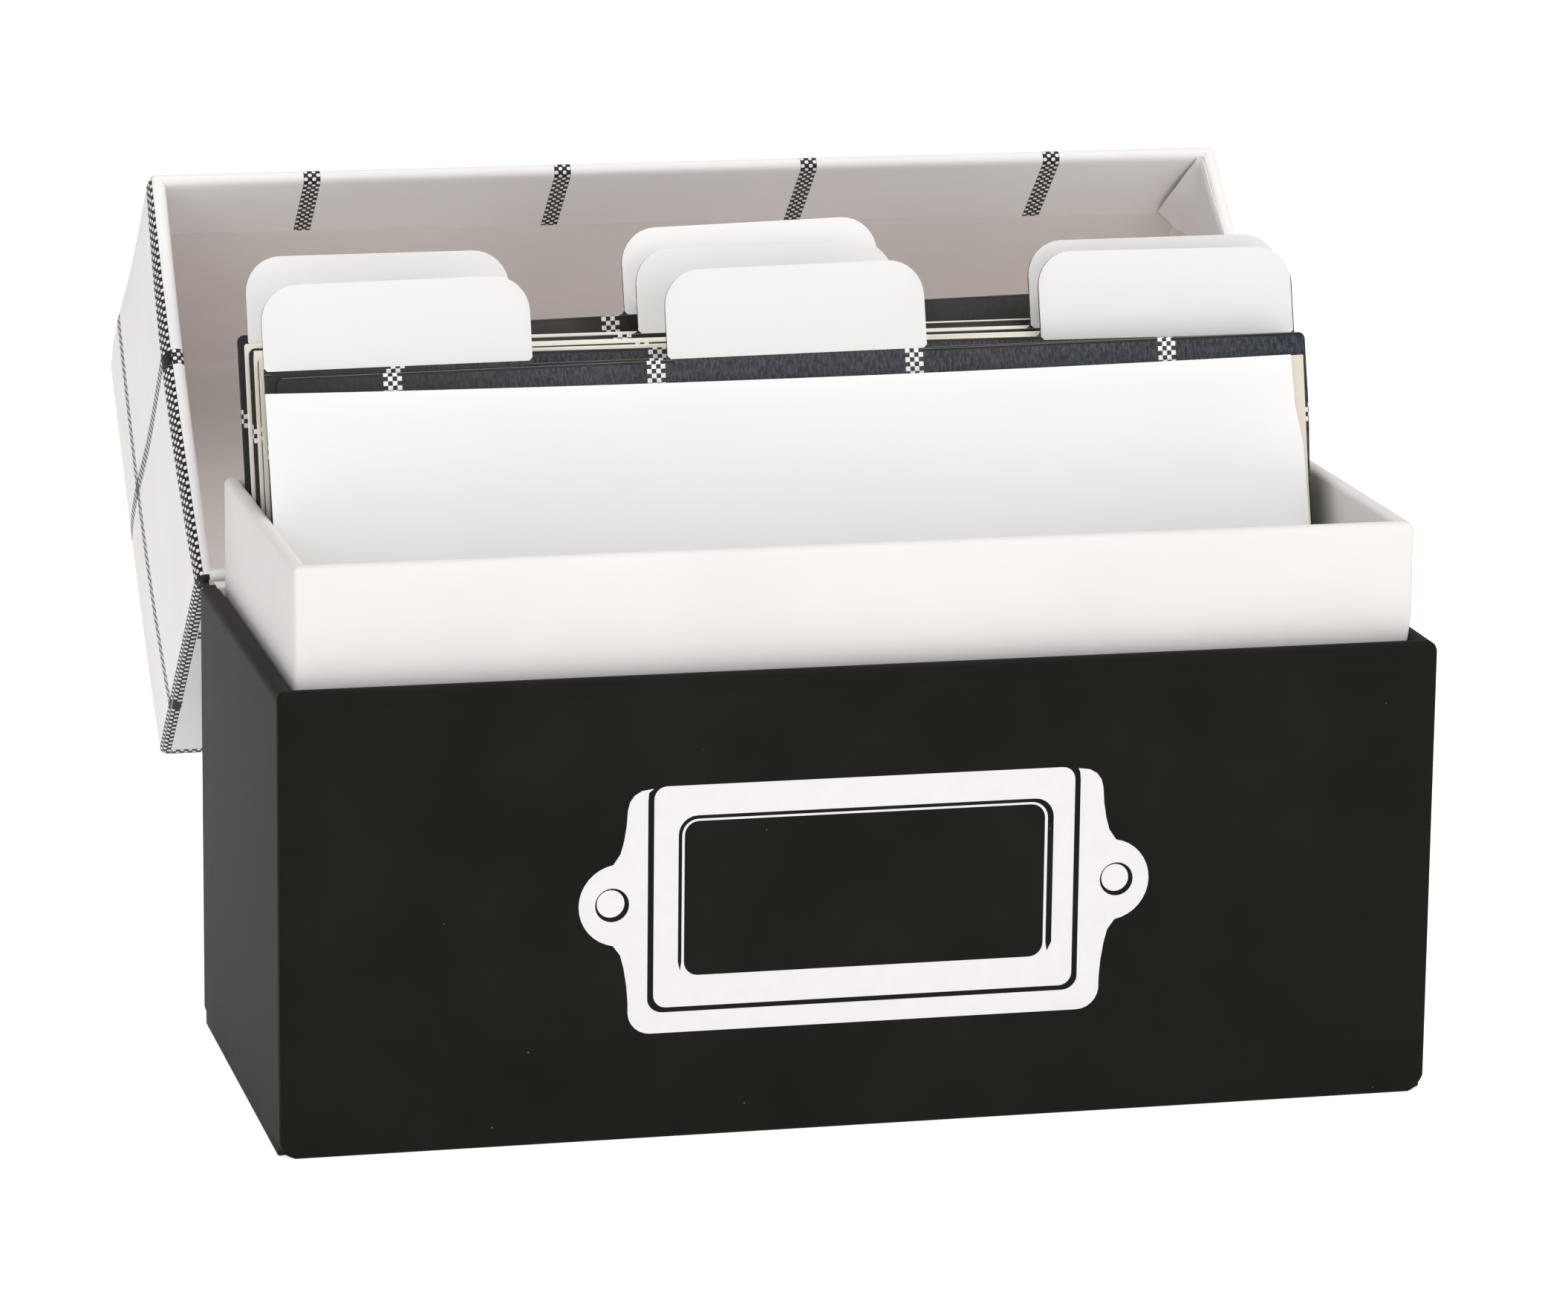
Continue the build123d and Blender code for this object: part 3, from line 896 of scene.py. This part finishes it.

# print is the middle of the printed stripe left of the centre, level the one under the top edge, white how
# far over the body the tab turns white, and blueSheenFrom where the painted reflection on the black turns
# from brown to blue
dividers = {
    "divider_1": {
        "width": 150.8, "height": 101.5, "tab": -0.5, "tabWidth": 38.0, "x": 0.4, "foot": 16.15, "bow": 1.05,
        "slant": 0.0115, "print": -21.25, "white": 0.1,
        "rightEdge": [(0, -0.6), (78, -0.6), (90, 0), (120, 0)],
    },
    "divider_2": {
        "width": 152.2, "height": 101.55, "tab": -57.0, "x": -0.4, "foot": 17.37, "bow": 1.0, "slant": 0.008,
        "print": -19.75, "white": 0.4,
    },
    "divider_3": {
        "width": 151.4, "height": 101.95, "tab": 56.35, "tabWidth": 38.3, "x": 0.2, "foot": 21.49, "bow": 0.9,
        "slant": -0.004, "print": -19.6, "white": -0.55, "rise": 0.1,
    },
    "divider_4": {
        "width": 152.4, "height": 101.65, "tab": 56.2, "x": 0.3, "foot": 26.64, "bow": 0.55, "slant": 0.003,
        "print": -20.4, "rise": 0.4,
    },
    "divider_5": {
        "width": 152.0, "height": 102.1, "tab": -0.4, "x": -0.55, "foot": 30.47, "bow": 0.4, "slant": 0.004,
        "print": -21.9, "rise": 0.5, "level": 12.3, "blueSheenFrom": 60.0, "tabColour": "#f1f0ee",
    },
    "divider_6": {
        "width": 151.6, "height": 101.6, "tab": -56.7, "x": -0.35, "foot": 33.48, "bow": 0.1, "print": -21.9,
        "rise": 0.45, "blueSheenFrom": 60.0, "tabColour": "#efeeec",
    },
    "divider_7": {
        "width": 152.4, "height": 101.75, "tab": -0.2, "x": -0.35, "foot": 38.4, "bow": 0.5, "slant": 0.012,
        "turn": -0.45, "leftIn": 0.28, "print": -21.5, "rise": 2.5, "level": 12.3, "blueSheenFrom": 60.0,
        "tabColour": "#faf9f7",
    },
}


def makeDivider(node, own):
    sheet = {**divider, **own}
    width, height, tab = sheet["width"], sheet["height"], sheet["tab"]
    sides = tab - sheet["tabWidth"] / 2, tab + sheet["tabWidth"] / 2
    piece = flatSheet("dividerSheet" + node[-1], width, height)
    cutAcross(piece, 0, [edge for edge in sides if abs(edge) < width / 2 - 0.25])
    pick(piece, "EDGE", lambda middle, line: near(middle.y, height) and near(middle.x, tab, 1.0))
    tabRise = (0, (sheet["top"] - height) * mm, 0)
    bpy.ops.mesh.extrude_region_move(TRANSFORM_OT_translate={"value": tabRise})
    only(piece)
    roundCorners(piece, sheet["tabCorner"], 8, lambda point: near(point.y, sheet["top"]))
    roundCorners(
        piece, sheet["notch"], 4, lambda point: near(point.y, height) and abs(point.x) < width / 2 - 0.1
    )
    roundCorners(
        piece, sheet["shoulder"], 5,
        lambda point: near(point.y, height) and near(abs(point.x), width / 2) and abs(point.x - tab) > 25,
    )
    cutAcross(piece, 0, evenly(-width / 2, width / 2, 15))
    cutAcross(piece, 1, [25, 50, 75, 78, 82, 86, 90])
    raiseThickness(piece, sheet["board"])
    setPlaces(piece, lambda point, centre, normal: (point.x, point.y))
    edges = [face.index for face in piece.data.polygons if abs(face.normal.z) < 0.3]
    standSheet(piece, {**sheet, "z": seat + sheet["rise"]})
    finish = dividerCard("coatedDividerCard" + node[-1], sheet)
    finishPiece(piece, finish, node + "_sheet", "divider_stock", node)
    piece.data.materials.append(dividerEdge)
    for index in edges:
        piece.data.polygons[index].material_index = 1


for node, own in dividers.items():
    makeDivider(node, own)
print("dividers made")

card = {"width": 152.4, "height": 101.6, "board": 0.3, "gap": 0.03, "lean": 16.0}
header = {
    "width": 150.9, "height": 101.25, "board": 0.35, "x": -1.3, "foot": 7.5, "z": seat, "lean": 19.6,
    "bow": 1.2, "dip": 0.85, "turn": -0.25, "clear": 0.5, "leftIn": 0.2,
    "rightEdge": [(0, 0), (88, 0), (94, -0.8), (102, -0.85)],
}
frontCard = {
    "width": 151.6, "height": 100.6, "board": 0.3, "x": -0.3, "foot": 8.75, "z": 3.8, "lean": 19.6,
    "bow": 1.2, "dip": 0.85, "turn": -0.42, "clear": 0.7, "rightEdge": [(0, -0.6), (78, -0.6), (101, 0.4)],
}


def makeCard(name, sheet, finish):
    piece = flatSheet(name, sheet["width"], sheet["height"])
    cutAcross(piece, 0, evenly(-sheet["width"] / 2, sheet["width"] / 2, 11))
    cutAcross(piece, 1, [25, 50, 75, 82, 86, 88, 90, 92, 94, 98])
    raiseThickness(piece, sheet["board"])
    piece.data.materials.append(finish)
    piece.data.materials.append(cardEdge)
    for face in piece.data.polygons:
        face.material_index = int(abs(face.normal.z) < 0.3)
    standSheet(piece, sheet)
    return piece


headerSheet = makeCard("headerSheet", header, headerCard)
finishPiece(headerSheet, headerCard, "front_cards", "header_stock", "header_card")
frontSheet = makeCard("frontSheet", frontCard, shadedFrontCream)
finishPiece(frontSheet, shadedFrontCream, "front_cards", "cream_stock", "front_card")

# trim is how much shorter each card of a stack is than the common card
stacks = {
    "cards_low": {
        "foot": 23.91, "body": "low_cards", "bow": 0.75, "x": 0.1, "step": 0.06,
        "trim": (0.0, -0.1, 0.1, 0.0, -0.1, 0.0),
    },
    "cards_middle": {
        "foot": 27.36, "body": "card_pack", "bow": 0.48, "x": -0.1, "step": 0.06,
        "trim": (-0.1, 0.1, -0.2, 0.0, -0.3, -0.2, -0.3, -0.25),
    },
    "cards_high": {
        "foot": 31.29, "body": "high_cards", "bow": 0.25, "x": -0.7, "step": 0.03,
        "trim": (-0.5, -0.6, -0.7, -0.65, -0.9),
    },
}


def makeStack(node, stack):
    # cards one behind the other, none of them quite level or in line
    level = node.split("_")[1]
    pitch = (card["board"] + card["gap"]) / math.cos(math.radians(card["lean"]))
    sheets = []
    for index, trim in enumerate(stack["trim"]):
        shift = stack["step"] * index + card["board"] * (index * 2 % 3 - 1) / 4
        sheet = {
            **card, "height": card["height"] - trim, "bow": stack["bow"], "x": stack["x"] + shift,
            "foot": stack["foot"] + index * pitch, "z": seat + card["board"] * (index * 3 % 4) / 3,
        }
        sheets.append(makeCard(level + "Card" + str(index + 1), sheet, creamCard))
    only(sheets[0])
    for piece in sheets:
        piece.select_set(True)
    bpy.ops.object.join()
    pile = bpy.context.object
    pile.name = pile.data.name = level + "CardStack"
    finishPiece(pile, creamCard, stack["body"], "cream_stock", node)


for node, stack in stacks.items():
    makeStack(node, stack)
print("cards made")

# label frame, printed flat in white on the front

def arc(centre, radius, start, end, count=8):
    # points round part of a circle, its angles in degrees
    turns = [math.radians(start + (end - start) * index / count) for index in range(count + 1)]
    return [(centre[0] + radius * math.cos(turn), centre[1] + radius * math.sin(turn)) for turn in turns]


def rounded(left, right, low, high, radius):
    # an upright rectangle with round corners
    ends = right - radius, left + radius, left + radius, right - radius
    rises = high - radius, high - radius, low + radius, low + radius
    line = []
    for quarter, centre in enumerate(zip(ends, rises)):
        line += arc(centre, radius, quarter * 90, quarter * 90 + 90, 6)
    return line


def mirrored(line):
    return [(-x, z) for x, z in reversed(line)]


plateRight = [
    (30.2, 50.05), (31.9, 49.8), (32.9, 49.2), (33.55, 48.3), (33.85, 47.1), (34.0, 45.0), (34.35, 42.8),
    (34.85, 41.0), *arc((34.85, 33.75), 5.85, 80, -80, 16), (34.85, 26.6), (34.35, 24.7), (33.95, 22.2),
    (33.75, 19.8), *arc((30.55, 18.35), 3.2, -5, -90, 6),
]
gapRight = [(30.45, 49.5), (30.55, 48.4), (30.55, 20.3), *arc((28.4, 20.3), 2.2, -15, -90, 5)]
gapLeft = [(-x - 0.45, z) for x, z in gapRight]
backPlate = plateRight + mirrored(plateRight) + gapLeft + list(reversed(gapRight))
labelWindow = rounded(-25.85, 25.5, 23.2, 45.2, 2.0)
shadowBand = [
    (-26.7, 25.2), *arc((-24.0, 43.3), 2.7, 180, 90, 6), *arc((24.05, 43.3), 2.7, 90, 0, 6),
    (26.75, 25.2), (26.1, 23.9), (25.9, 25.2),
    *arc((23.6, 43.2), 2.3, 0, 90, 6), *arc((-23.9, 43.2), 2.3, 90, 180, 6),
    (-26.2, 25.2), (-26.4, 23.9),
]


def flatPrint(name, shapes, front):
    # closed outlines filled into one flat print that lies on the front wall
    data = bpy.data.curves.new(name, "CURVE")
    data.dimensions = "2D"
    data.fill_mode = "BOTH"
    for shape in shapes:
        spline = data.splines.new("POLY")
        spline.points.add(len(shape) - 1)
        for point, (x, z) in zip(spline.points, shape):
            point.co = (x * mm, z * mm, 0, 1)
        spline.use_cyclic_u = True
    data.extrude = 0.01 * mm
    curve = bpy.data.objects.new(name, data)
    bpy.context.collection.objects.link(curve)
    only(curve)
    bpy.ops.object.convert(target="MESH")
    piece = bpy.context.object
    piece.name = piece.data.name = name
    reshape(piece, lambda point: (point.x, front - point.z, point.y))
    return piece


def screw(centre):
    # a dark ring round a white disc that sits up and to the left
    ring = arc(centre, 2.4, 0, 360, 24)[:-1]
    disc = arc((centre[0] - 0.22, centre[1] + 0.22), 1.95, 0, 360, 24)[:-1]
    return [ring, disc]


frontPlate = rounded(-30.15, 29.75, 18.8, 50.3, 1.8)
outlines = [backPlate, frontPlate, shadowBand, labelWindow, *screw((-36, 33.8)), *screw((36, 33.8))]
labelPrint = flatPrint("labelPrint", outlines, base["low"][1] - 0.02)
finishPiece(labelPrint, whiteInk, "base", "white_paper")
print("label made")

# boards and liners that stay as they are

kept = {"base_floor_board": solidBoard, "base_floor_liner": collarPaper, "lid_top_board": solidBoard}
for name, finish in kept.items():
    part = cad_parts[name]
    part.data.materials.clear()
    part.data.materials.append(finish)

# floor, lights

bpy.ops.mesh.primitive_plane_add(size=8)
floor = bpy.context.object
floor.name = "studioFloor"
floorFinish, floorTree, floorShader = newFinish("paleStudioFloor", 0.9, 0.1)
floorShader.inputs["Base Color"].default_value = toLinear("#fafafa")
floorShader.inputs["Emission Color"].default_value = (1, 1, 1, 1)
seenFloor = addNode(floorTree, "LightPath", take="Is Camera Ray")
floorGlow = addNode(floorTree, "MapRange", {"Value": seenFloor, "To Min": 0.36, "To Max": 0.75})
floorTree.links.new(floorGlow, floorShader.inputs["Emission Strength"])
floor.data.materials.append(floorFinish)

world = bpy.data.worlds.new("studio")
bpy.context.scene.world = world
world.use_nodes = True
worldTree = world.node_tree
seen = addNode(worldTree, "LightPath", take="Is Camera Ray")
glow = addNode(worldTree, "MapRange", {"Value": seen, "To Min": 0.43, "To Max": 1.0})
worldTree.nodes["Background"].inputs[0].default_value = (1, 1, 1, 1)
worldTree.links.new(glow, worldTree.nodes["Background"].inputs[1])


def softLight(name, place, size, power, target=(0, 0, 60)):
    bpy.ops.object.light_add(type="AREA", location=[value * mm for value in place])
    light = bpy.context.object
    light.name = name
    light.data.size = size * mm
    light.data.energy = power
    aim = Vector(target) * mm - light.location
    light.rotation_mode = "QUATERNION"
    light.rotation_quaternion = aim.to_track_quat("-Z", "Y")
    return light


softLight("keyLight", (-1500, -1700, 1000), 1200, 6.2)
softLight("topLight", (200, -500, 2050), 1600, 22)
softLight("frontLight", (500, -2300, 450), 1200, 12)
bpy.context.scene.view_settings.view_transform = "Standard"
